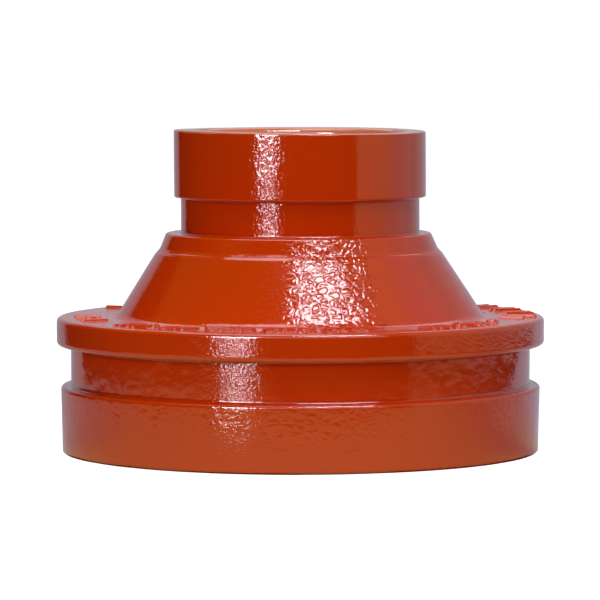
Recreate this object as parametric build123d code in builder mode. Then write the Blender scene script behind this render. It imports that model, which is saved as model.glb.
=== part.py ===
from build123d import *
import os
from math import asin, cos, degrees, radians, sin

# Grooved concentric pipe reducer, DN 100 x DN 50 (4 in x 2 in), a single iron casting.
# Millimetres. The origin is the centre of the large end's face, and +Z runs up the pipe axis to the
# small end. The casting is split where its form changes, and the zones meet on flat rings.

# Large end: pipe size DN 100, with a coupling groove
large_od = 114.30
large_groove_dia = 110.08
large_seat_length = 15.88
large_groove_width = 9.75
large_bore_dia = 100.0

# Small end: pipe size DN 50, with a coupling groove
small_od = 60.30
small_groove_dia = 57.15
small_seat_length = 15.88
small_groove_width = 8.55
small_bore_dia = 49.0

# Body between the grooves
end_to_end = 76.70
flange_dia = 116.80
flange_top_z = 32.2
cone_foot_dia = 88.2
cone_shoulder_z = 47.4
cone_shoulder_dia = 68.8
collar_foot_z = 48.1
collar_foot_dia = 67.4
collar_lip_dia = 63.4

# Inner wall: the large bore turns in under the flange and runs up an inner cone to the small bore
ceiling_z = 26.0
ceiling_corner_radius = 4.0
inner_cone_foot_dia = 80.0
inner_cone_top_z = 51.0

# Edges
bore_chamfer = 1.2
seat_end_radius = 0.6
large_seat_groove_radius = 0.8
small_seat_groove_radius = 0.4
flange_edge_radius = 1.0
collar_lip_radius = 0.8
cone_root_radius = 2.5
cone_root_foot = 0.25
cone_root_reach = 2.0
cone_shoulder_radius = 1.0
inner_edge_radius = 2.0

# Marks cast on the flange: plain bars, dots and pads
mark_circle_radius = 51.0
mark_height = 1.1
mark_top_radius = 0.35
bar_length = 6.0
bar_width = 2.2
dot_dia = 3.0
pad_length = 9.0
pad_width = 7.0
pad_circle_radius = 52.8
mark_pitch = 5.2
dot_every = 3

large_bore_r = large_bore_dia / 2
small_bore_r = small_bore_dia / 2
large_groove_top_z = large_seat_length + large_groove_width
small_seat_z = end_to_end - small_seat_length
collar_top_z = small_seat_z - small_groove_width
corner_centre = (large_bore_r - ceiling_corner_radius, ceiling_z - ceiling_corner_radius)
corner_split_angle = degrees(asin((large_groove_top_z - corner_centre[1]) / ceiling_corner_radius))
corner_split_r = corner_centre[0] + ceiling_corner_radius * cos(radians(corner_split_angle))


def inner_cone_r(z):
    """Radius of the inner cone at height z."""
    share = (z - ceiling_z) / (inner_cone_top_z - ceiling_z)
    return inner_cone_foot_dia / 2 + share * (small_bore_r - inner_cone_foot_dia / 2)


def outer_cone_r(z):
    """Radius of the outer cone at height z, below its shoulder."""
    share = (z - flange_top_z) / (cone_shoulder_z - flange_top_z)
    return cone_foot_dia / 2 + share * (cone_shoulder_dia - cone_foot_dia) / 2


def outer_edge(part, end):
    """The outermost edge at the top (end -1) or the bottom (end 0) of a turned piece."""
    return part.edges().group_by(Axis.Z)[end].sort_by(SortBy.RADIUS)[-1]


def inner_edge(part, end):
    """The innermost edge at the top (end -1) or the bottom (end 0) of a turned piece."""
    return part.edges().group_by(Axis.Z)[end].sort_by(SortBy.RADIUS)[0]


def mark_place(azimuth, circle_radius=mark_circle_radius):
    """A place on the mark circle. Azimuth 0 is the front (-Y) and 90 the right (+X)."""
    angle = radians(azimuth - 90)
    return Location((circle_radius * cos(angle), circle_radius * sin(angle), 0), azimuth - 90)


def mark_row(first, last):
    """Sketch a row of bars and dots from one azimuth to another, one pitch apart."""
    count = int((last - first) / mark_pitch) + 1
    for i in range(count):
        with Locations(mark_place(first + i * mark_pitch)):
            if i % dot_every == dot_every - 1:
                Circle(dot_dia / 2)
            else:
                Rectangle(bar_length, bar_width)


with BuildPart() as large_gasket_seat:
    with BuildSketch(Plane.XZ):
        with Locations((large_bore_r, 0)):
            Rectangle(large_od / 2 - large_bore_r, large_seat_length, align=(Align.MIN, Align.MIN))
    revolve(axis=Axis.Z)
    fillet(outer_edge(large_gasket_seat, -1), radius=large_seat_groove_radius)
    fillet(outer_edge(large_gasket_seat, 0), radius=seat_end_radius)
    chamfer(inner_edge(large_gasket_seat, 0), length=bore_chamfer)

with BuildPart() as large_groove_neck:
    with BuildSketch(Plane.XZ):
        with BuildLine():
            Polyline(
                (corner_split_r, large_groove_top_z),
                (large_groove_dia / 2, large_groove_top_z),
                (large_groove_dia / 2, large_seat_length),
                (large_bore_r, large_seat_length),
                (large_bore_r, corner_centre[1]),
            )
            CenterArc(corner_centre, ceiling_corner_radius, 0, corner_split_angle)
        make_face()
    revolve(axis=Axis.Z)

with BuildPart() as shoulder_flange:
    with BuildSketch(Plane.XZ) as section:
        with BuildLine():
            CenterArc(corner_centre, ceiling_corner_radius, corner_split_angle, 90 - corner_split_angle)
            Polyline(
                (corner_centre[0], ceiling_z),
                (inner_cone_r(ceiling_z), ceiling_z),
                (inner_cone_r(flange_top_z), flange_top_z),
                (flange_dia / 2, flange_top_z),
                (flange_dia / 2, large_groove_top_z),
                (corner_split_r, large_groove_top_z),
            )
        make_face()
        inner_lip = section.vertices().sort_by_distance((inner_cone_foot_dia / 2, ceiling_z))[0]
        fillet(inner_lip, radius=inner_edge_radius)
    revolve(axis=Axis.Z)
    fillet(outer_edge(shoulder_flange, -1), radius=flange_edge_radius)
    fillet(outer_edge(shoulder_flange, 0), radius=flange_edge_radius)

with BuildPart() as cone_body:
    root_top_z = flange_top_z + cone_root_foot
    root_r = cone_foot_dia / 2 + cone_root_reach
    with BuildSketch(Plane.XZ) as section:
        with BuildLine():
            Polyline(
                (inner_cone_r(flange_top_z), flange_top_z),
                (root_r, flange_top_z),
                (root_r, root_top_z),
                (outer_cone_r(root_top_z), root_top_z),
                (cone_shoulder_dia / 2, cone_shoulder_z),
                (collar_foot_dia / 2, collar_foot_z),
                (inner_cone_r(collar_foot_z), collar_foot_z),
                close=True,
            )
        make_face()
        root = section.vertices().sort_by_distance((outer_cone_r(root_top_z), root_top_z))[0]
        fillet(root, radius=cone_root_radius)
        shoulder = section.vertices().sort_by_distance((cone_shoulder_dia / 2, cone_shoulder_z))[0]
        fillet(shoulder, radius=cone_shoulder_radius)
    revolve(axis=Axis.Z)

with BuildPart() as cone_collar:
    with BuildSketch(Plane.XZ) as section:
        with BuildLine():
            Polyline(
                (inner_cone_r(collar_foot_z), collar_foot_z),
                (collar_foot_dia / 2, collar_foot_z),
                (collar_lip_dia / 2, collar_top_z),
                (small_bore_r, collar_top_z),
                (small_bore_r, inner_cone_top_z),
                close=True,
            )
        make_face()
        throat = section.vertices().sort_by_distance((small_bore_r, inner_cone_top_z))[0]
        fillet(throat, radius=inner_edge_radius)
    revolve(axis=Axis.Z)
    fillet(outer_edge(cone_collar, -1), radius=collar_lip_radius)

with BuildPart() as small_groove_neck:
    with BuildSketch(Plane.XZ):
        with Locations((small_bore_r, collar_top_z)):
            Rectangle(small_groove_dia / 2 - small_bore_r, small_groove_width, align=(Align.MIN, Align.MIN))
    revolve(axis=Axis.Z)

with BuildPart() as small_gasket_seat:
    with BuildSketch(Plane.XZ):
        with Locations((small_bore_r, small_seat_z)):
            Rectangle(small_od / 2 - small_bore_r, small_seat_length, align=(Align.MIN, Align.MIN))
    revolve(axis=Axis.Z)
    fillet(outer_edge(small_gasket_seat, -1), radius=seat_end_radius)
    fillet(outer_edge(small_gasket_seat, 0), radius=small_seat_groove_radius)
    chamfer(inner_edge(small_gasket_seat, -1), length=bore_chamfer)


def pads(*azimuths):
    """Sketch a broad pad at each azimuth, out towards the flange's edge."""
    for azimuth in azimuths:
        with Locations(mark_place(azimuth, pad_circle_radius)):
            Rectangle(pad_width, pad_length)


def raise_marks(marks):
    """Raise the sketched marks off the flange and round their top edges."""
    extrude(amount=mark_height)
    fillet(marks.edges().group_by(Axis.Z)[-1], radius=mark_top_radius)


with BuildPart() as cast_marks_front:
    with BuildSketch(Plane.XY.offset(flange_top_z)):
        mark_row(-52, 20)
    raise_marks(cast_marks_front)

with BuildPart() as cast_marks_right:
    with BuildSketch(Plane.XY.offset(flange_top_z)):
        mark_row(36, 62)
    raise_marks(cast_marks_right)

with BuildPart() as cast_marks_left:
    with BuildSketch(Plane.XY.offset(flange_top_z)):
        mark_row(-88, -68)
    raise_marks(cast_marks_left)

with BuildPart() as cast_pads_right:
    with BuildSketch(Plane.XY.offset(flange_top_z)):
        with Locations(mark_place(80)):
            Rectangle(bar_length, bar_width)
        pads(90, 103, 116, 129)
    raise_marks(cast_pads_right)

with BuildPart() as cast_pad_rear_left:
    with BuildSketch(Plane.XY.offset(flange_top_z)):
        pads(-127)
    raise_marks(cast_pad_rear_left)

pieces = {
    "large_gasket_seat": large_gasket_seat,
    "large_groove_neck": large_groove_neck,
    "shoulder_flange": shoulder_flange,
    "cone_body": cone_body,
    "cone_collar": cone_collar,
    "small_groove_neck": small_groove_neck,
    "small_gasket_seat": small_gasket_seat,
    "cast_marks_front": cast_marks_front,
    "cast_marks_right": cast_marks_right,
    "cast_marks_left": cast_marks_left,
    "cast_pads_right": cast_pads_right,
    "cast_pad_rear_left": cast_pad_rear_left,
}

os.makedirs("parts", exist_ok=True)
for name, piece in pieces.items():
    piece.part.label = name
    export_step(piece.part, f"parts/{name}.step")
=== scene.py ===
import math

import bpy
import numpy as np
from mathutils import Matrix, Vector


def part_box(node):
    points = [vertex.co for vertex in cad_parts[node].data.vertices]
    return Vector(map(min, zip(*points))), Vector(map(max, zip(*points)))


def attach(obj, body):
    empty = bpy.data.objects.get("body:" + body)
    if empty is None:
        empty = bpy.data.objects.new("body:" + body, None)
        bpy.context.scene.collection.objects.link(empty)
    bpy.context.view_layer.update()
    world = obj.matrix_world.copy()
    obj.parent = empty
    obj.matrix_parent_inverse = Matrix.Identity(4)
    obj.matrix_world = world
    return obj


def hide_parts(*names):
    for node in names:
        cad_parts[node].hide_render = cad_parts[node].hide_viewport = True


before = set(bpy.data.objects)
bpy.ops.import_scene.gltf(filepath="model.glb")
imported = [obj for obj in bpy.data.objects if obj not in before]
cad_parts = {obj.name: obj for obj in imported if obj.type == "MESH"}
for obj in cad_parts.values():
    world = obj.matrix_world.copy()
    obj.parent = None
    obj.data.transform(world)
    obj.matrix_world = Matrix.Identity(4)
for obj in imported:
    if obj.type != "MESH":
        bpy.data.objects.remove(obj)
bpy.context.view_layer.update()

# A grooved pipe reducer: one iron casting under glossy orange-red enamel. Metres, +Z up the pipe axis,
# the front towards -Y. Each zone of the casting is a dense turned mesh of its own, and the raised marks
# are soft lumps on the flange. Every piece stands for the CAD node of the same zone.

BODY = "root"
TURNS = 960                   # steps round each turned piece
SMALL_TURNS = 840             # and round the small end's pieces
FINE = 0.00032                # spacing of the outline's points on the painted outside
SMALL_FINE = 0.00024          # the same on the small end's pieces
COARSE = 0.0012               # and on the hidden or inner walls
ARC_STEPS = 7                 # points on each rounded corner of an outline
SHARP_ANGLE = math.radians(50)


# ---- Sizes, from the frame ------------------------------------------------------------------------

def reach(node):
    """(smallest, largest) distance of a CAD node's points from the pipe axis."""
    r = [math.hypot(v.co.x, v.co.y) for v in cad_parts[node].data.vertices]
    return min(r), max(r)


def height(node):
    """(lowest, highest) z of a CAD node."""
    lo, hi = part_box(node)
    return lo.z, hi.z


LARGE_BORE_R, LARGE_R = reach("large_gasket_seat")
LARGE_GROOVE_R = reach("large_groove_neck")[1]
FLANGE_R = reach("shoulder_flange")[1]
SMALL_BORE_R, SMALL_R = reach("small_gasket_seat")
SMALL_GROOVE_R = reach("small_groove_neck")[1]
COLLAR_FOOT_R = reach("cone_collar")[1]
SEAT_TOP_Z = height("large_gasket_seat")[1]
GROOVE_TOP_Z, FLANGE_TOP_Z = height("shoulder_flange")
COLLAR_FOOT_Z, COLLAR_TOP_Z = height("cone_collar")
SMALL_SEAT_Z, TOP_Z = height("small_gasket_seat")

# Outside of the cone and the collar
CONE_FOOT_R = 0.0441
CONE_SHOULDER_R, CONE_SHOULDER_Z = 0.0344, 0.0474
COLLAR_KNEE_R, COLLAR_KNEE_Z = 0.0332, 0.04875
COLLAR_LIP_R = 0.0317

# Inner wall
CEILING_Z = 0.026
CEILING_CORNER = 0.004
INNER_FOOT_R = 0.040
INNER_TOP_Z = 0.051

# The large seat widens a little from its face up to its groove
SEAT_DRAFT_LOW = -0.00005
SEAT_DRAFT_HIGH = 0.0003

# Rounded edges
EDGE_SMALL = 0.0004
EDGE_SEAT = 0.0008
EDGE_FLANGE = 0.0010
MOUTH_ROUND = 0.0015
CONE_SHOULDER_ROUND = 0.0010
CONE_ROOT = 0.0025
CONE_ROOT_REACH = CONE_ROOT * 0.8

# The enamel's fillets in the corners of the grooves
POOL = 0.0006                 # how far enamel reaches out of a corner
POOL_LOW = POOL * 0.9         # rounding in a groove's lower corner
POOL_HIGH = POOL * 0.6        # rounding in its upper corner
FEATHER = 0.00004             # how far enamel climbs where it thins out at a seam
SEAM_FADE = 0.0009            # the relief dies away over this distance to a seam



# ---- Smooth noise ---------------------------------------------------------------------------------

NOISE_GAIN = 1.6              # brings the highest lumps to about 1


def noise(points, lump, seed):
    """Gradient noise from about -1 to 1 at each point, one lump about every `lump` metres."""
    rng = np.random.default_rng(seed)
    table = rng.permutation(256)
    slopes = rng.normal(size=(256, 3))
    slopes /= np.linalg.norm(slopes, axis=1)[:, None]
    scaled = points / lump
    cell = np.floor(scaled).astype(int)
    inside = scaled - cell
    ease = inside ** 3 * (inside * (inside * 6 - 15) + 10)
    total = np.zeros(len(points))
    for corner in np.ndindex(2, 2, 2):
        corner = np.array(corner)
        x, y, z = (cell + corner).T & 255
        slope = slopes[table[(table[(table[x] + y) & 255] + z) & 255]]
        weight = np.prod(np.where(corner == 1, ease, 1 - ease), axis=1)
        total += weight * np.sum(slope * (inside - corner), axis=1)
    return total * NOISE_GAIN


def domes(points, spacing, seed):
    """Heights from 0 to 1 of close-packed domes with creases between them, about `spacing` apart."""
    rng = np.random.default_rng(seed)
    table = rng.permutation(256)
    spots = rng.random((256, 3))
    scaled = points / spacing
    cell = np.floor(scaled).astype(int)
    nearest = np.full(len(points), np.inf)
    for corner in np.ndindex(3, 3, 3):
        there = cell + np.array(corner) - 1
        x, y, z = there.T & 255
        spot = there + spots[table[(table[(table[x] + y) & 255] + z) & 255]]
        nearest = np.minimum(nearest, np.linalg.norm(spot - scaled, axis=1))
    return 1 - np.minimum(nearest, 1) ** 2


WARP = 0.00012                # the casting's drift off true
WARP_LUMP = 0.032             # and the distance over which it changes
LEAN = 0.00045                # lean to the left at the top of the collar
LEAN_FADE = 0.002             # the lean sets in over this distance outside the small groove's wall
UNEVEN = 0.016                # slope of the small end's cut
UNEVEN_BELOW = 0.010          # the slope dies away over this height below the top


def warp(points):
    """The casting is never quite true: a slow drift, the same for every piece at the same place, an
    outside that leans a little to the left up the cone and the collar, and a small end that is cut a
    little high at the front left."""
    drift = np.stack([noise(points, WARP_LUMP, seed) for seed in (11, 12)], axis=1)
    moved = points.copy()
    moved[:, :2] += WARP * drift
    z = points[:, 2]
    share = np.clip((z - FLANGE_TOP_Z) / (COLLAR_TOP_Z - FLANGE_TOP_Z), 0, 1)
    outside = np.clip((np.hypot(points[:, 0], points[:, 1]) - SMALL_GROOVE_R - POOL) / LEAN_FADE, 0, 1)
    moved[:, 0] -= LEAN * share * outside * (z < COLLAR_TOP_Z + FEATHER)
    near = 0.5 - 0.5 * points[:, 1] / SMALL_R
    moved[:, 2] -= UNEVEN * points[:, 0] * near * np.clip((z - TOP_Z) / UNEVEN_BELOW + 1, 0, 1)
    return moved


# ---- Turned pieces --------------------------------------------------------------------------------

def rounded_corner(before, here, after, rounding):
    """The start and end of the arc that rounds a corner, and the arc's points."""
    if rounding <= 0:
        return here, here, here[None]
    back = before - here
    on = after - here
    back /= np.linalg.norm(back)
    on /= np.linalg.norm(on)
    half = math.acos(np.clip(back @ on, -1, 1)) / 2
    reach_back = rounding / math.tan(half)
    middle = (back + on) / np.linalg.norm(back + on)
    centre = here + middle * rounding / math.sin(half)
    first = here + back * reach_back
    last = here + on * reach_back
    a0 = math.atan2(*(first - centre)[::-1])
    a1 = math.atan2(*(last - centre)[::-1])
    turn = (a1 - a0 + math.pi) % (2 * math.pi) - math.pi
    angles = a0 + turn * np.linspace(0, 1, ARC_STEPS)
    return first, last, centre + rounding * np.stack([np.cos(angles), np.sin(angles)], axis=1)


def outline(corners):
    """A closed outline in (r, z) from corners (r, z, rounding, spacing to the next corner, seam).
    Returns its points and how far along the outline each is from the nearest seam."""
    n = len(corners)
    place = np.array([c[:2] for c in corners])
    starts, ends, arcs = [], [], []
    for i in range(n):
        start, end, arc = rounded_corner(place[i - 1], place[i], place[(i + 1) % n], corners[i][2])
        starts.append(start)
        ends.append(end)
        arcs.append(arc)
    points, seams = [], []
    for i, (_, _, _, step, seam) in enumerate(corners):
        if seam:
            seams.append(len(points) + len(arcs[i]) // 2)
        points.extend(arcs[i])
        gap = starts[(i + 1) % n] - ends[i]
        count = max(1, round(np.linalg.norm(gap) / step))
        points.extend(ends[i] + gap * k / count for k in range(1, count))
    points = np.array(points)
    along = np.concatenate([[0], np.cumsum(np.linalg.norm(np.diff(points, axis=0), axis=1))])
    whole = along[-1] + np.linalg.norm(points[0] - points[-1])
    away = np.full(len(points), whole)
    for s in seams:
        gap = np.abs(along - along[s])
        away = np.minimum(away, np.minimum(gap, whole - gap))
    return points, away


def mesh_piece(name, points, quads, node, material):
    """A smooth-shaded mesh object that rides on the body and stands for a CAD node."""
    mesh = bpy.data.meshes.new(name)
    mesh.vertices.add(len(points))
    mesh.vertices.foreach_set("co", points.astype(np.float32).ravel())
    mesh.loops.add(quads.size)
    mesh.loops.foreach_set("vertex_index", quads.astype(np.int32).ravel())
    mesh.polygons.add(len(quads))
    mesh.polygons.foreach_set("loop_start", np.arange(0, quads.size, 4, dtype=np.int32))
    mesh.polygons.foreach_set("use_smooth", np.ones(len(quads), bool))
    mesh.update(calc_edges=True)
    mesh.validate()
    mesh.set_sharp_from_angle(angle=SHARP_ANGLE)
    mesh.materials.append(material)
    piece = bpy.data.objects.new(name, mesh)
    bpy.context.scene.collection.objects.link(piece)
    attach(piece, BODY)
    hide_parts(node)
    return piece


# Where the paint is roughest, as (middle, half width, fade, share left outside) along X
ROUGH_CONE = (0.0080, 0.0055, 0.0075, 0.12)
ROUGH_FLANGE = (-0.0155, 0.0060, 0.0040, 0.50)
ROUGH_GROOVE = (-0.0145, 0.0055, 0.0040, 0.25)
ROUGH_SMALL = (-0.0070, 0.0040, 0.0030, 0.25)
ROUGH_ALL = (0.0, 1.0, 1.0, 1.0)

# The domes are higher in some patches of the paint than in others
PATCH = 0.018
PATCH_MEAN = 0.85
PATCH_SWING = 0.9
PATCH_LOWEST = 0.4
PATCH_HIGHEST = 1.3

# The soft lumps carry smaller ones, as shares of their height and size
SMALL_LUMP_SHARE = 0.5
SMALL_LUMP_SIZE = 0.45

# The dents: steep sides, in patches of their own, and hardly any at the foot of the large seat
DENT_STEEP = 4
DENT_PATCH = PATCH * 0.6
DENT_PATCH_MEAN = 0.5
DENT_PATCH_SWING = 3
DENT_FOOT = 0.2
DENT_RISE = 0.4
DENT_LEAST = 0.12
NO_DENTS = (0.0, 1.0)


def dents_in(points, spacing, flat, seed):
    """Depths from 0 to 1 of scattered dents about `spacing` apart."""
    steep = domes(points * (1, 1, flat), spacing, seed + 30) * DENT_STEEP - (DENT_STEEP - 1)
    high = np.clip((points[:, 2] / SEAT_TOP_Z - DENT_FOOT) / DENT_RISE, DENT_LEAST, 1)
    patch = DENT_PATCH_MEAN + DENT_PATCH_SWING * noise(points, DENT_PATCH, seed + 40)
    return np.clip(steep, 0, 1) ** 2 * high * np.clip(patch, 0, 1)


def relief(points, seed, lumps, pimples, flat, rough=ROUGH_ALL, dents=NO_DENTS):
    """How far the surface stands out: soft lumps, domes that are stronger in some patches, and
    scattered dents. Each is given as (height, spacing), and the domes are `flat` times as wide as they
    are tall. The domes are lower outside the `rough` stretch."""
    tall, spacing = lumps
    small = noise(points, spacing * SMALL_LUMP_SIZE, seed + 50)
    out = tall * (noise(points, spacing, seed) + SMALL_LUMP_SHARE * small)
    tall, spacing = pimples
    patch = PATCH_MEAN + PATCH_SWING * noise(points, PATCH, seed + 90)
    patch = np.clip(patch, PATCH_LOWEST, PATCH_HIGHEST)
    middle, half, fade, left = rough
    patch *= 1 - (1 - left) * np.clip((np.abs(points[:, 0] - middle) - half) / fade, 0, 1)
    out += tall * patch * domes(points * (1, 1, flat), spacing, seed + 70)
    deep, spacing = dents
    if deep:
        out -= deep * dents_in(points, spacing, flat, seed)
    return out


def turned_piece(node, material, seed, corners, turns=TURNS, **surface):
    """Turns an outline about Z, and gives it the relief of a painted casting."""
    profile, away = outline(corners)
    tangent = np.roll(profile, -1, axis=0) - np.roll(profile, 1, axis=0)
    normal = np.stack([tangent[:, 1], -tangent[:, 0]], axis=1)
    normal /= np.linalg.norm(normal, axis=1)[:, None]
    r, z = profile.T
    area = np.sum(r * np.roll(z, -1) - np.roll(r, -1) * z)
    facing = 1.0 if area > 0 else -1.0
    angle = np.linspace(0, 2 * math.pi, turns, endpoint=False)[:, None]
    cos, sin = np.cos(angle), np.sin(angle)
    grid = (turns, len(profile))
    points = np.stack([r * cos, r * sin, np.broadcast_to(z, grid)], axis=2).reshape(-1, 3)
    out = facing * np.stack(
        [normal[:, 0] * cos, normal[:, 0] * sin, np.broadcast_to(normal[:, 1], grid)], axis=2
    ).reshape(-1, 3)
    fade = np.clip(away / SEAM_FADE, 0, 1)
    fade = np.broadcast_to(fade * fade * (3 - 2 * fade), grid).reshape(-1, 1)
    points = warp(points + out * fade * relief(points, seed, **surface)[:, None])
    m = len(profile)
    i = np.arange(turns)[:, None]
    j = np.arange(m)[None]
    i2 = (i + 1) % turns
    j2 = (j + 1) % m
    quads = np.stack([i * m + j, i2 * m + j, i2 * m + j2, i * m + j2], axis=2).reshape(-1, 4)
    if facing < 0:
        quads = quads[:, ::-1]
    return mesh_piece(node + "_casting", points, quads, node, material)


# ---- Raised marks ---------------------------------------------------------------------------------

MARK_STEP = 0.00022
MARK_SKIRT = 0.0006           # a mark's foot spreads this far over the flange
MARK_SINK = 0.0002            # and its base lies this far under the flange's face
MARK_SOFT = 0.0008            # least width of a mark's soft edge
MARK_DOME = 0.8               # and its share of the mark's half width
MARK_CORNER = 0.45            # a bar's corner radius, as a share of its half width
MARK_ROUND = 0.0005           # a mark with sides closer in size than this is a round dot
MARK_ROUGH = 0.00010
MARK_ROUGH_LUMP = 0.0016
MARK_GAP = math.radians(1.6)  # least angle between one mark and the next


def marks_in(node):
    """(azimuth, radius, length along the radius, width across it) of each separate mark of a CAD node."""
    points = np.array([v.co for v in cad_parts[node].data.vertices])
    angle = np.arctan2(points[:, 1], points[:, 0]) % (2 * math.pi)
    order = np.argsort(angle)
    steps = np.diff(angle[order])
    found = []
    for group in np.split(order, np.flatnonzero(steps > MARK_GAP) + 1):
        middle = (angle[group].min() + angle[group].max()) / 2
        axis = np.array([math.cos(middle), math.sin(middle)])
        across = np.array([-axis[1], axis[0]])
        u, v = points[group, :2] @ axis, points[group, :2] @ across
        found.append((middle, (u.min() + u.max()) / 2, np.ptp(u), np.ptp(v)))
    return found


def mark_rise(uu, vv, half_u, half_v, corner):
    """How far up the mark is, from 0 to 1, at each place from its skirt to its domed top."""
    du = np.maximum(np.abs(uu) - (half_u - corner), 0)
    dv = np.maximum(np.abs(vv) - (half_v - corner), 0)
    outside = np.hypot(du, dv) - corner
    inward = np.minimum(np.maximum(du - corner, dv - corner), 0)
    inward = np.where(outside < 0, np.minimum(outside, inward), outside)
    soft = max(MARK_SOFT, MARK_DOME * min(half_u, half_v))
    share = np.clip((MARK_SKIRT - inward) / (MARK_SKIRT + soft), 0, 1)
    return share * share * (3 - 2 * share)


def slab_quads(nu, nv):
    """Quads of an upper and a lower grid of nu by nv steps and of the rim between them."""
    index = np.arange((nu + 1) * (nv + 1)).reshape(nu + 1, nv + 1)
    upper = np.stack([index[:-1, :-1], index[1:, :-1], index[1:, 1:], index[:-1, 1:]], axis=2)
    upper = upper.reshape(-1, 4)
    lower = upper[:, ::-1] + index.size
    rim = np.concatenate([index[:, 0], index[-1, 1:], index[-2::-1, -1], index[0, -2:0:-1]])
    nxt = np.roll(rim, -1)
    side = np.stack([rim, rim + index.size, nxt + index.size, nxt], axis=1)
    return np.concatenate([upper, lower, side])


def mark_lump(azimuth, radius, length, width, tall, seed):
    """Points and quads of one soft-edged mark: a domed top with a skirt that sinks into the flange."""
    half_u, half_v = length / 2, width / 2
    corner = min(half_u, half_v) * (1.0 if abs(length - width) < MARK_ROUND else MARK_CORNER)
    nu = 2 * max(6, round((half_u + MARK_SKIRT) / MARK_STEP))
    nv = 2 * max(6, round((half_v + MARK_SKIRT) / MARK_STEP))
    u = np.linspace(-half_u - MARK_SKIRT, half_u + MARK_SKIRT, nu + 1)
    v = np.linspace(-half_v - MARK_SKIRT, half_v + MARK_SKIRT, nv + 1)
    uu, vv = np.meshgrid(u, v, indexing="ij")
    rise = mark_rise(uu, vv, half_u, half_v, corner)
    axis = np.array([math.cos(azimuth), math.sin(azimuth)])
    across = np.array([-axis[1], axis[0]])
    flat = (radius + uu)[..., None] * axis + vv[..., None] * across
    top = np.dstack([flat, FLANGE_TOP_Z - FEATHER * 2 + rise * tall]).reshape(-1, 3)
    top[:, 2] += (rise.ravel() * MARK_ROUGH) * noise(top, MARK_ROUGH_LUMP, seed)
    base = np.dstack([flat, np.full_like(uu, FLANGE_TOP_Z - MARK_SINK)]).reshape(-1, 3)
    return warp(np.concatenate([top, base])), slab_quads(nu, nv)


def mark_piece(node, material, tall, seed):
    """All the marks of one CAD node, as one piece of separate lumps."""
    all_points, all_quads, count = [], [], 0
    for k, mark in enumerate(marks_in(node)):
        points, quads = mark_lump(*mark, tall, seed + k)
        all_points.append(points)
        all_quads.append(quads + count)
        count += len(points)
    return mesh_piece(node + "_lumps", np.concatenate(all_points), np.concatenate(all_quads), node, material)


# ---- Materials ------------------------------------------------------------------------------------

ORANGE = (0.62, 0.042, 0.0006, 1)
ORANGE_DEEP = (0.56, 0.034, 0.0004, 1)
# a dark colour for painted shade in the corners, where little light reaches
CORNER_SHADE = (0.16, 0.010, 0.0006, 1)
MOUTH_PALE = (0.70, 0.20, 0.10, 1)

COLOUR_SCALE = 45.0           # patches of the colour's drift per metre
SHADE_REACH = 0.0011           # painted shade lies this far out of the corners
SHADE_FROM = 0.4               # openness of a corner at which it is all painted shade
SHADE_TO = 0.9                 # and at which there is none
GLOSS_SMOOTH = 0.05
GLOSS_DULL = 0.12
ENAMEL_IOR = 1.5

PLATE_BEND = 1.5              # how far a plate's outline wanders, in plates
PLATE_BEND_SCALE = 0.8

MOUTH_EDGE = -0.0001          # the mouth's paler colour ends here on the rounded rim
MOUTH_FADE = 0.0002
MOUTH_WANDER = 0.0007
MOUTH_SCALE = 220.0


def add(tree, kind, **values):
    """A new node with its inputs set by name and its own settings by attribute."""
    made = tree.nodes.new(kind)
    for key, value in values.items():
        if key.startswith("in_"):
            made.inputs[key[3:].replace("_", " ")].default_value = value
        else:
            setattr(made, key, value)
    return made


def stretched(tree, place, flat):
    """The same place with heights counted `flat` times, which makes every lump that much flatter."""
    squeeze = add(tree, "ShaderNodeVectorMath", operation="MULTIPLY")
    squeeze.inputs[1].default_value = (1, 1, flat)
    tree.links.new(place, squeeze.inputs[0])
    return squeeze.outputs["Vector"]


def plates(tree, place, spacing, width):
    """Heights from 0 to 1 of irregular plates about `spacing` apart, between grooves whose sides are
    each `width` of a plate wide."""
    bend = add(tree, "ShaderNodeTexNoise", in_Scale=PLATE_BEND_SCALE / spacing, in_Detail=1.0)
    tree.links.new(place, bend.inputs["Vector"])
    push = add(tree, "ShaderNodeVectorMath", operation="MULTIPLY_ADD")
    tree.links.new(bend.outputs["Color"], push.inputs[0])
    push.inputs[1].default_value = (spacing * PLATE_BEND,) * 3
    tree.links.new(place, push.inputs[2])
    cell = add(tree, "ShaderNodeTexVoronoi", feature="DISTANCE_TO_EDGE", in_Scale=1 / spacing)
    tree.links.new(push.outputs["Vector"], cell.inputs["Vector"])
    rise = add(tree, "ShaderNodeMapRange", interpolation_type="SMOOTHSTEP")
    rise.inputs["From Max"].default_value = width
    tree.links.new(cell.outputs["Distance"], rise.inputs["Value"])
    return rise.outputs["Result"]


def calmed(tree, place, height, rough):
    """The height, lowered outside the `rough` stretch."""
    middle, half, fade, left = rough
    split = add(tree, "ShaderNodeSeparateXYZ")
    tree.links.new(place, split.inputs[0])
    offset = add(tree, "ShaderNodeMath", operation="SUBTRACT")
    tree.links.new(split.outputs["X"], offset.inputs[0])
    offset.inputs[1].default_value = middle
    away = add(tree, "ShaderNodeMath", operation="ABSOLUTE")
    tree.links.new(offset.outputs[0], away.inputs[0])
    keep = add(tree, "ShaderNodeMapRange", in_From_Min=half, in_From_Max=half + fade,
               in_To_Min=1.0, in_To_Max=left)
    tree.links.new(away.outputs[0], keep.inputs["Value"])
    lower = add(tree, "ShaderNodeMath", operation="MULTIPLY")
    tree.links.new(height, lower.inputs[0])
    tree.links.new(keep.outputs["Result"], lower.inputs[1])
    return lower.outputs[0]


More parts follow.
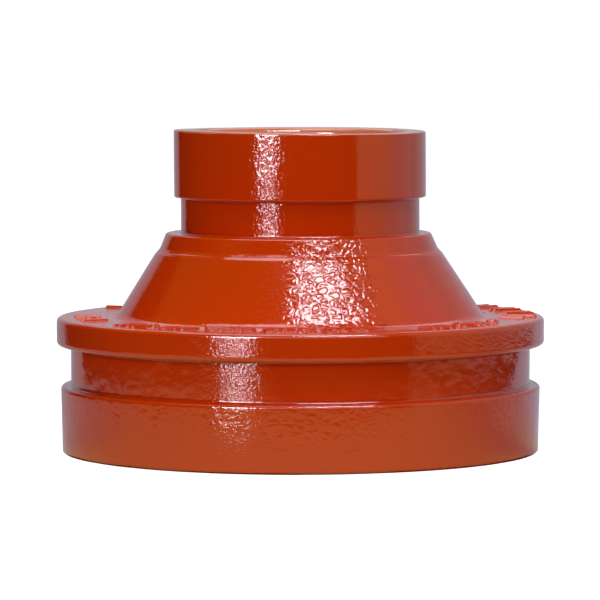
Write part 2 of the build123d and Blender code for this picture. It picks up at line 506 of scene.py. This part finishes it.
def mouth_share(tree, place):
    """1 on the small end's top face, rim and bore, and 0 below an uneven line on its outside."""
    level = add(tree, "ShaderNodeVectorMath", operation="MULTIPLY")
    level.inputs[1].default_value = (1, 1, 0)
    tree.links.new(place, level.inputs[0])
    radius = add(tree, "ShaderNodeVectorMath", operation="LENGTH")
    tree.links.new(level.outputs["Vector"], radius.inputs[0])
    split = add(tree, "ShaderNodeSeparateXYZ")
    tree.links.new(place, split.inputs[0])
    depth = add(tree, "ShaderNodeMath", operation="SUBTRACT")
    tree.links.new(radius.outputs["Value"], depth.inputs[0])
    tree.links.new(split.outputs["Z"], depth.inputs[1])
    wander = add(tree, "ShaderNodeTexNoise", in_Scale=MOUTH_SCALE, in_Detail=3.0)
    tree.links.new(place, wander.inputs["Vector"])
    edge = add(tree, "ShaderNodeMath", operation="MULTIPLY_ADD")
    tree.links.new(wander.outputs["Fac"], edge.inputs[0])
    edge.inputs[1].default_value = -MOUTH_WANDER
    tree.links.new(depth.outputs[0], edge.inputs[2])
    start = SMALL_R - TOP_Z + MOUTH_EDGE
    share = add(tree, "ShaderNodeMapRange", in_From_Min=start, in_From_Max=start - MOUTH_FADE)
    tree.links.new(edge.outputs[0], share.inputs["Value"])
    return share.outputs["Result"]


def mixed(tree, share, first, second):
    """A colour that goes from `first` to `second` with the share. Each is a colour or a socket."""
    mix = add(tree, "ShaderNodeMix", data_type="RGBA")
    for side, colour in (("A", first), ("B", second)):
        if isinstance(colour, tuple):
            mix.inputs[side].default_value = colour
        else:
            tree.links.new(colour, mix.inputs[side])
    tree.links.new(share, mix.inputs["Factor"])
    return mix.outputs["Result"]


def shaded_corners(tree, paint):
    """The paint's colour, with painted shade darkening the corners between the pieces."""
    corner = add(tree, "ShaderNodeAmbientOcclusion", samples=4, in_Distance=SHADE_REACH)
    unshaded = add(tree, "ShaderNodeMapRange", in_From_Min=SHADE_FROM, in_From_Max=SHADE_TO)
    tree.links.new(corner.outputs["AO"], unshaded.inputs["Value"])
    return mixed(tree, unshaded.outputs["Result"], CORNER_SHADE, paint)


def raised(tree, height, tall, under=None):
    """A bumped normal, `tall` metres high where the height is 1, over another normal if given."""
    bump = add(tree, "ShaderNodeBump", in_Strength=1.0, in_Distance=tall)
    tree.links.new(height, bump.inputs["Height"])
    if under:
        tree.links.new(under, bump.inputs["Normal"])
    return bump.outputs["Normal"]


def enamel(name, flat, spacing, width, tall, grain, grain_tall, rough=ROUGH_ALL, mouth=False):
    """Glossy enamel over a casting: plates of a height `tall` with grooves between them, and a finer
    grain over them, both lower outside the `rough` stretch. `mouth` makes the small end's top face, rim and
    bore paler."""
    material = bpy.data.materials.new(name)
    material.use_nodes = True
    tree = material.node_tree
    shader = tree.nodes["Principled BSDF"]
    shader.inputs["IOR"].default_value = ENAMEL_IOR
    place = add(tree, "ShaderNodeTexCoord").outputs["Object"]

    drift = add(tree, "ShaderNodeTexNoise", in_Scale=COLOUR_SCALE, in_Detail=3.0)
    tree.links.new(place, drift.inputs["Vector"])
    paint = mixed(tree, drift.outputs["Fac"], ORANGE_DEEP, ORANGE)
    if mouth:
        paint = mixed(tree, mouth_share(tree, place), paint, MOUTH_PALE)
    # the base colour carries painted shade, darker where a corner is more hidden
    tree.links.new(shaded_corners(tree, paint), shader.inputs["Base Color"])

    gloss = add(tree, "ShaderNodeMapRange", in_To_Min=GLOSS_SMOOTH, in_To_Max=GLOSS_DULL)
    tree.links.new(drift.outputs["Fac"], gloss.inputs["Value"])
    tree.links.new(gloss.outputs["Result"], shader.inputs["Roughness"])

    place = stretched(tree, place, flat)
    peel = add(tree, "ShaderNodeTexNoise", in_Scale=1 / grain, in_Detail=1.0, in_Roughness=0.5)
    tree.links.new(place, peel.inputs["Vector"])
    coarse = raised(tree, calmed(tree, place, plates(tree, place, spacing, width), rough), tall)
    fine = raised(tree, calmed(tree, place, peel.outputs["Fac"], rough), grain_tall, coarse)
    tree.links.new(fine, shader.inputs["Normal"])
    return material


# ---- The casting ----------------------------------------------------------------------------------

def inner_r(z):
    """Radius of the inner cone's wall at height z, on the line through the CAD's own wall."""
    share = (z - CEILING_Z) / (INNER_TOP_Z - CEILING_Z)
    return INNER_FOOT_R + share * (SMALL_BORE_R - INNER_FOOT_R)


CORNER_R = LARGE_BORE_R - CEILING_CORNER
CORNER_Z = CEILING_Z - CEILING_CORNER
SPLIT_R = CORNER_R + math.sqrt(CEILING_CORNER ** 2 - (GROOVE_TOP_Z - CORNER_Z) ** 2)

seat_enamel = enamel(
    "enamel_large_seat", flat=1.6, spacing=0.0024, width=0.16, tall=0.000004,
    grain=0.0009, grain_tall=0.000050,
)
groove_enamel = enamel(
    "enamel_large_groove", flat=1.0, spacing=0.0010, width=0.25, tall=0.000006,
    grain=0.0007, grain_tall=0.000055, rough=ROUGH_GROOVE,
)
flange_enamel = enamel(
    "enamel_flange", flat=1.0, spacing=0.0013, width=0.22, tall=0.000006,
    grain=0.0007, grain_tall=0.000055, rough=ROUGH_FLANGE,
)
cone_enamel = enamel(
    "enamel_cone", flat=1.2, spacing=0.0019, width=0.32, tall=0.000105,
    grain=0.0009, grain_tall=0.000012, rough=ROUGH_CONE,
)
small_enamel = enamel(
    "enamel_small_groove", flat=0.7, spacing=0.0008, width=0.2, tall=0.000002,
    grain=0.00080, grain_tall=0.000080, rough=ROUGH_SMALL,
)
end_enamel = enamel(
    "enamel_small_end", flat=0.7, spacing=0.0008, width=0.2, tall=0.000002,
    grain=0.00080, grain_tall=0.000076, rough=ROUGH_SMALL, mouth=True,
)

turned_piece("large_gasket_seat", seat_enamel, 21, [
    (LARGE_BORE_R, 0.0, EDGE_SEAT, COARSE, False),
    (LARGE_R + SEAT_DRAFT_LOW, 0.0, EDGE_SMALL, FINE, False),
    (LARGE_R + SEAT_DRAFT_HIGH, SEAT_TOP_Z, EDGE_SEAT, FINE, False),
    (LARGE_GROOVE_R + POOL, SEAT_TOP_Z, 0, COARSE, True),
    (LARGE_BORE_R, SEAT_TOP_Z, 0, COARSE, True),
], lumps=(0.00003, 0.007), pimples=(0.000012, 0.0018), flat=1.5, dents=(0.00008, 0.0021))

turned_piece("large_groove_neck", groove_enamel, 22, [
    (LARGE_BORE_R, SEAT_TOP_Z, 0, COARSE, True),
    (LARGE_GROOVE_R + POOL, SEAT_TOP_Z, 0, FINE, True),
    (LARGE_GROOVE_R, SEAT_TOP_Z + FEATHER, POOL_LOW, FINE, False),
    (LARGE_GROOVE_R, GROOVE_TOP_Z - FEATHER, POOL_HIGH, FINE, False),
    (LARGE_GROOVE_R + POOL, GROOVE_TOP_Z, 0, COARSE, True),
    (SPLIT_R, GROOVE_TOP_Z, 0, COARSE, True),
    (LARGE_BORE_R, CORNER_Z, 0, COARSE, False),
], lumps=(0.00002, 0.003), pimples=(0.00002, 0.0016), flat=1.2, rough=ROUGH_GROOVE)

turned_piece("shoulder_flange", flange_enamel, 23, [
    (SPLIT_R, GROOVE_TOP_Z, 0, COARSE, True),
    (LARGE_GROOVE_R + POOL, GROOVE_TOP_Z, 0, FINE, True),
    (FLANGE_R, GROOVE_TOP_Z, EDGE_FLANGE, FINE, False),
    (FLANGE_R, FLANGE_TOP_Z, EDGE_FLANGE, FINE, False),
    (CONE_FOOT_R + CONE_ROOT_REACH, FLANGE_TOP_Z, 0, COARSE, True),
    (inner_r(FLANGE_TOP_Z), FLANGE_TOP_Z, 0, COARSE, True),
    (INNER_FOOT_R, CEILING_Z, EDGE_FLANGE, COARSE, False),
    (CORNER_R, CEILING_Z, 0, COARSE, False),
], lumps=(0.00002, 0.006), pimples=(0.000020, 0.0014), flat=1.0, rough=ROUGH_FLANGE)

turned_piece("cone_body", cone_enamel, 24, [
    (inner_r(FLANGE_TOP_Z), FLANGE_TOP_Z, 0, COARSE, True),
    (CONE_FOOT_R + CONE_ROOT_REACH, FLANGE_TOP_Z, 0, FINE, True),
    (CONE_FOOT_R, FLANGE_TOP_Z + FEATHER, CONE_ROOT, FINE, False),
    (CONE_SHOULDER_R, CONE_SHOULDER_Z, CONE_SHOULDER_ROUND, FINE, False),
    (COLLAR_FOOT_R, COLLAR_FOOT_Z, 0, COARSE, True),
    (inner_r(COLLAR_FOOT_Z), COLLAR_FOOT_Z, 0, COARSE, True),
], lumps=(0.00002, 0.006), pimples=(0.00007, 0.0025), flat=1.2, rough=ROUGH_CONE)

turned_piece("cone_collar", cone_enamel, 25, [
    (inner_r(COLLAR_FOOT_Z), COLLAR_FOOT_Z, 0, COARSE, True),
    (COLLAR_FOOT_R, COLLAR_FOOT_Z, 0, FINE, True),
    (COLLAR_KNEE_R, COLLAR_KNEE_Z, EDGE_SEAT, FINE, False),
    (COLLAR_LIP_R, COLLAR_TOP_Z, EDGE_SEAT, FINE, False),
    (SMALL_GROOVE_R + POOL, COLLAR_TOP_Z, 0, COARSE, True),
    (SMALL_BORE_R, COLLAR_TOP_Z, 0, COARSE, True),
    (SMALL_BORE_R, INNER_TOP_Z, 0, COARSE, False),
], lumps=(0.00002, 0.006), pimples=(0.00005, 0.0024), flat=1.2, rough=ROUGH_CONE)

turned_piece("small_groove_neck", small_enamel, 26, [
    (SMALL_BORE_R, COLLAR_TOP_Z, 0, COARSE, True),
    (SMALL_GROOVE_R + POOL, COLLAR_TOP_Z, 0, SMALL_FINE, True),
    (SMALL_GROOVE_R, COLLAR_TOP_Z + FEATHER, POOL_LOW, SMALL_FINE, False),
    (SMALL_GROOVE_R, SMALL_SEAT_Z - FEATHER, POOL_HIGH, SMALL_FINE, False),
    (SMALL_GROOVE_R + POOL, SMALL_SEAT_Z, 0, COARSE, True),
    (SMALL_BORE_R, SMALL_SEAT_Z, 0, COARSE, True),
], turns=SMALL_TURNS, lumps=(0.000008, 0.005), pimples=(0.000030, 0.0014), flat=0.8, rough=ROUGH_SMALL)

turned_piece("small_gasket_seat", end_enamel, 27, [
    (SMALL_BORE_R, SMALL_SEAT_Z, 0, COARSE, True),
    (SMALL_GROOVE_R + POOL, SMALL_SEAT_Z, 0, SMALL_FINE, True),
    (SMALL_R, SMALL_SEAT_Z, EDGE_SMALL, SMALL_FINE, False),
    (SMALL_R, TOP_Z, EDGE_SMALL, SMALL_FINE, False),
    (SMALL_BORE_R, TOP_Z, MOUTH_ROUND, COARSE, False),
], turns=SMALL_TURNS, lumps=(0.000008, 0.006), pimples=(0.000030, 0.0014), flat=0.8, rough=ROUGH_SMALL)

MARK_TALL = height("cast_marks_front")[1] - FLANGE_TOP_Z
MARK_NODES = (
    "cast_marks_front",
    "cast_marks_right",
    "cast_marks_left",
    "cast_pads_right",
    "cast_pad_rear_left",
)
FIRST_MARK_SEED = 60
SEEDS_PER_NODE = 20
for k, node in enumerate(MARK_NODES):
    mark_piece(node, flange_enamel, MARK_TALL, FIRST_MARK_SEED + SEEDS_PER_NODE * k)


# ---- Studio ---------------------------------------------------------------------------------------

AIM = (0, 0, 0.04)            # the point that lamps and cards face
CARD_AWAY = 0.9               # distance of most cards
CARD_STEP = 8                 # degrees from one column of a curved card to the next
LAMP_AWAY = 1.3
LIT_NEAR = 0.0585             # the lit floor starts just outside the flange
LIT_Z = 0.0001                # and lies a hair above the floor
SIDE_FALL = 0.3               # share of its light that is missing close to the casting's sides

FLOOR_HALF = 6.0
FLOOR_SHADE = 0.2
FLOOR_GLOW = 1.0
BOUNCE_GLOW = 0.58
ROOM_GLOW = 0.006             # what the paint reflects where there is no card

COOL = (0.92, 1.0, 1.06)
WARM = (1.0, 1.0, 0.58)
WHITE = (1, 1, 1)
AMBER = (1, 0.9, 0.1)
NEAR_WARM = (0.95, 0.95, 0.44)
LEFT_WARM = (0.76, 0.76, 0.56)
LEFT_PALE = (0.58, 0.59, 0.60)
LEFT_DIM = (0.48, 0.49, 0.50)
RIGHT_WARM = (0.88, 0.88, 0.42)
RIGHT_MIXED = (0.74, 0.74, 0.46)
RIGHT_DIM = (0.52, 0.52, 0.49)
RIGHT_PALE = (0.72, 0.75, 0.64)
RIGHT_SIDE = (0.68, 0.73, 0.70)
RIGHT_COOL = (0.56, 0.66, 0.84)
BACK_LEFT = (0.36, 0.39, 0.45)
BACK_RIGHT = (0.48, 0.52, 0.60)


def stage_mesh(name, points, faces, material):
    """A stage piece with its points and faces."""
    mesh = bpy.data.meshes.new(name)
    mesh.from_pydata(points, [], faces)
    mesh.materials.append(material)
    made = bpy.data.objects.new(name, mesh)
    bpy.context.scene.collection.objects.link(made)
    return made


def only_reflected(piece):
    """Leaves a stage piece to reflections alone: it lights nothing and the camera doesn't see it."""
    piece.visible_camera = False
    piece.visible_diffuse = False
    piece.visible_transmission = False
    piece.visible_volume_scatter = False
    piece.visible_shadow = False


def sheet(left, right, near, far, z):
    """The corners of a level rectangle."""
    return [(left, near, z), (right, near, z), (right, far, z), (left, far, z)]


def paper(name, shade, own_light):
    """Matt white paper with some light of its own."""
    material = bpy.data.materials.new(name)
    material.use_nodes = True
    shader = material.node_tree.nodes["Principled BSDF"]
    shader.inputs["Base Color"].default_value = (shade, shade, shade, 1)
    shader.inputs["Roughness"].default_value = 0.9
    shader.inputs["Specular IOR Level"].default_value = 0.0
    shader.inputs["Emission Color"].default_value = (1, 1, 1, 1)
    shader.inputs["Emission Strength"].default_value = own_light
    return material


def glow_material():
    """Light of the colour and strength held in a mesh's own colours."""
    material = bpy.data.materials.new("glow")
    material.use_nodes = True
    tree = material.node_tree
    tree.nodes.clear()
    light = add(tree, "ShaderNodeEmission")
    held = add(tree, "ShaderNodeAttribute", attribute_name="glow")
    tree.links.new(held.outputs["Color"], light.inputs["Color"])
    tree.links.new(light.outputs[0], add(tree, "ShaderNodeOutputMaterial").inputs["Surface"])
    return material


GLOW = glow_material()


def glowing(name, points, faces, colours):
    """A reflected card whose light at each point is given by a colour."""
    card = stage_mesh(name, points, faces, GLOW)
    held = card.data.color_attributes.new("glow", "FLOAT_COLOR", "POINT")
    for i, colour in enumerate(colours):
        held.data[i].color = (*colour, 1)
    only_reflected(card)
    return card


def toward(azimuth, elevation, distance, base=AIM):
    """A point seen from the casting at an azimuth (0 is the front, 90 the right) and an elevation."""
    a, e = math.radians(azimuth), math.radians(elevation)
    return (
        base[0] + distance * math.sin(a) * math.cos(e),
        base[1] - distance * math.cos(a) * math.cos(e),
        base[2] + distance * math.sin(e),
    )


def board(name, rows, tint, distance=CARD_AWAY):
    """A curved card of rows (elevation, azimuth of its left, azimuth of its right, strength), lowest
    first."""
    n = math.ceil(max(right - left for _, left, right, _ in rows) / CARD_STEP) + 1
    points, colours, faces = [], [], []
    for elevation, left, right, strength in rows:
        points += [toward(azimuth, elevation, distance) for azimuth in np.linspace(left, right, n)]
        colours += [[strength * c for c in tint]] * n
    for row in range(len(rows) - 1):
        for i in range(row * n, row * n + n - 1):
            faces.append((i, i + 1, i + n + 1, i + n))
    return glowing(name, points, faces, colours)


def side_board(name, left, right, rows, tint):
    """A curved card between two azimuths, of rows (elevation, strength)."""
    return board(name, [(elevation, left, right, strength) for elevation, strength in rows], tint)


def lit_floor(name, edge):
    """The lit part of the floor round the casting: its edge as (azimuth, radius, colour), all round.
    It dims a little towards the casting at the sides."""
    points, colours, faces = [], [], []
    for azimuth, radius, colour in edge:
        points.append(toward(azimuth, 0, LIT_NEAR, (0, 0, LIT_Z)))
        points.append(toward(azimuth, 0, radius, (0, 0, LIT_Z)))
        dim = 1 - SIDE_FALL * math.sin(math.radians(azimuth)) ** 4
        colours += [[dim * c for c in colour], colour]
    n = len(edge)
    for i in range(n):
        k = (i + 1) % n
        faces.append((2 * i, 2 * i + 1, 2 * k + 1, 2 * k))
    return glowing(name, points, faces, colours)


# The floor that the camera sees
floor = stage_mesh(
    "floor",
    sheet(-FLOOR_HALF, FLOOR_HALF, -FLOOR_HALF, FLOOR_HALF, 0),
    [(0, 1, 2, 3)],
    paper("floor_paper", FLOOR_SHADE, FLOOR_GLOW),
)
floor.visible_glossy = False
floor.visible_diffuse = False

# The lit floor, softboxes and white boards, as reflections
lit_floor("lit_floor", [
    (-180, 0.90, BACK_LEFT), (-145, 0.60, BACK_LEFT), (-125, 0.25, LEFT_DIM), (-100, 0.235, LEFT_PALE),
    (-80, 0.24, LEFT_WARM), (-66, 0.26, NEAR_WARM), (-45, 0.28, NEAR_WARM), (-20, 0.225, NEAR_WARM),
    (-5, 0.188, NEAR_WARM), (25, 0.184, NEAR_WARM), (40, 0.215, NEAR_WARM), (56, 0.235, RIGHT_WARM),
    (66, 0.205, RIGHT_MIXED), (74, 0.205, RIGHT_DIM), (82, 0.205, RIGHT_DIM), (91, 0.205, RIGHT_PALE),
    (102, 0.205, RIGHT_SIDE), (120, 0.235, RIGHT_COOL), (145, 0.60, BACK_RIGHT),
])
board("strip_softbox", [
    (-6.0, -36.5, -23.5, 1.3), (-5.55, -36.5, -23.5, 1.8), (-5.25, -36.5, -23.5, 36),
    (-4.9, -36.5, -23.5, 38), (-4.6, -36.5, -23.5, 21), (-3.9, -37, -23, 14), (-3.3, -38, -22, 1.3),
    (1.2, -38.5, -21.5, 1.0), (2.6, -39, -21, 20), (4.5, -39, -21, 30), (24, -40, -20, 30),
], COOL)
board("top_softbox", [
    (44, 7, 44, 3), (46, 7, 46, 18), (50, 4, 48, 17), (53, 1, 49, 18), (55, -2, 48, 23),
    (60, -3, 47, 25), (65, -3, 45, 24),
], COOL)
board("crease_board", [(58, -135, -75, 3), (76, -135, -60, 5), (90, -135, -60, 7)], COOL, 1.2)
board("upper_board", [
    (60, -75, -15, 0.4), (64, -75, -15, 0.4), (67.5, -75, -15, 5), (80, -75, 60, 6), (90, -75, 60, 6),
], COOL, 1.2)
board("front_board", [(8, -19, 40, 2.2), (35, -18, 40, 2.2)], COOL, 0.95)
board("back_ceiling", [(30, 148, 212, 1.6), (88, 120, 240, 2.4)], COOL, 0.8)
side_board("right_board", 53, 90, [(-5.2, 0.58), (-2.9, 0.7), (2, 0.85), (60, 0.85)], WARM)
side_board("side_board", 90, 120, [(-5.15, 0.62), (-2.9, 0.65), (60, 0.65)], WHITE)
side_board("far_side_board", 120, 148, [(-5.2, 0.72), (-2.9, 0.5), (60, 0.5)], COOL)
board("ceiling", [(30, -135, -60, 0.24), (50, -150, 40, 0.24), (88, -150, 60, 0.24)], AMBER, 1.8)
glowing(
    "back_board",
    [(-0.64, 0.88, -0.2), (0.64, 0.88, -0.2), (0.64, 0.88, 0.9), (-0.64, 0.88, 0.9)],
    [(0, 1, 2, 3)],
    [BACK_LEFT, BACK_RIGHT, BACK_RIGHT, BACK_LEFT],
)

# Light thrown up from the floor, for the paint's colour alone
bounce = stage_mesh(
    "bounce",
    sheet(-0.42, 0.33, -0.29, 0.9, LIT_Z),
    [(0, 1, 2, 3)],
    paper("bounce_paper", 0.0, BOUNCE_GLOW),
)
only_reflected(bounce)
bounce.visible_diffuse = True
bounce.visible_glossy = False


def lamp(name, azimuth, elevation, size, power, distance=LAMP_AWAY):
    """A soft lamp that lights the paint and the floor, and leaves no reflection."""
    data = bpy.data.lights.new(name, "AREA")
    data.shape = "DISK"
    data.size = size
    data.energy = power
    made = bpy.data.objects.new(name, data)
    bpy.context.scene.collection.objects.link(made)
    made.location = toward(azimuth, elevation, distance)
    aim = Vector(AIM) - made.location
    made.rotation_mode = "QUATERNION"
    made.rotation_quaternion = aim.to_track_quat("-Z", "Y")
    made.visible_glossy = False
    return made


lamp("top_lamp", 16, 62, size=0.7, power=6.0)
lamp("strip_lamp", -29, 22, size=0.5, power=3.8)
lamp("low_lamp", 20, 20, size=0.6, power=2.2)
lamp("zenith_lamp", 0, 88, size=0.8, power=5.0)
lamp("back_lamp", 180, 35, size=1.0, power=4.0, distance=1.4)

def studio_world():
    """White behind the scene for the camera, a faint room for reflections, and dark for the rest."""
    world = bpy.data.worlds.new("studio")
    world.use_nodes = True
    tree = world.node_tree
    tree.nodes.clear()
    path = add(tree, "ShaderNodeLightPath")
    seen = None
    for ray, strength in ((None, 0.0), ("Is Glossy Ray", ROOM_GLOW), ("Is Camera Ray", 1.0)):
        shade = add(tree, "ShaderNodeBackground", in_Color=(1, 1, 1, 1), in_Strength=strength)
        if ray is None:
            seen = shade
            continue
        mix = add(tree, "ShaderNodeMixShader")
        tree.links.new(path.outputs[ray], mix.inputs[0])
        tree.links.new(seen.outputs[0], mix.inputs[1])
        tree.links.new(shade.outputs[0], mix.inputs[2])
        seen = mix
    tree.links.new(seen.outputs[0], add(tree, "ShaderNodeOutputWorld").inputs["Surface"])
    return world


bpy.context.scene.world = studio_world()
bpy.context.scene.view_settings.view_transform = "Standard"


# ---- Camera ---------------------------------------------------------------------------------------

CAMERA_SIDE = -0.00005
CAMERA_AWAY = 1.0076
CAMERA_HEIGHT = 0.1044
CAMERA_PITCH = math.radians(3.884)
CAMERA_ROLL = math.radians(-0.1)
LENS = 252.5
SENSOR_WIDTH = 36

camera_data = bpy.data.cameras.new("camera")
camera_data.lens = LENS
camera_data.sensor_width = SENSOR_WIDTH
camera_data.clip_start = 0.01
camera = bpy.data.objects.new("camera", camera_data)
bpy.context.scene.collection.objects.link(camera)
camera.matrix_world = (
    Matrix.Translation((CAMERA_SIDE, -CAMERA_AWAY, CAMERA_HEIGHT))
    @ Matrix.Rotation(math.pi / 2 - CAMERA_PITCH, 4, "X")
    @ Matrix.Rotation(CAMERA_ROLL, 4, "Z")
)
bpy.context.scene.camera = camera
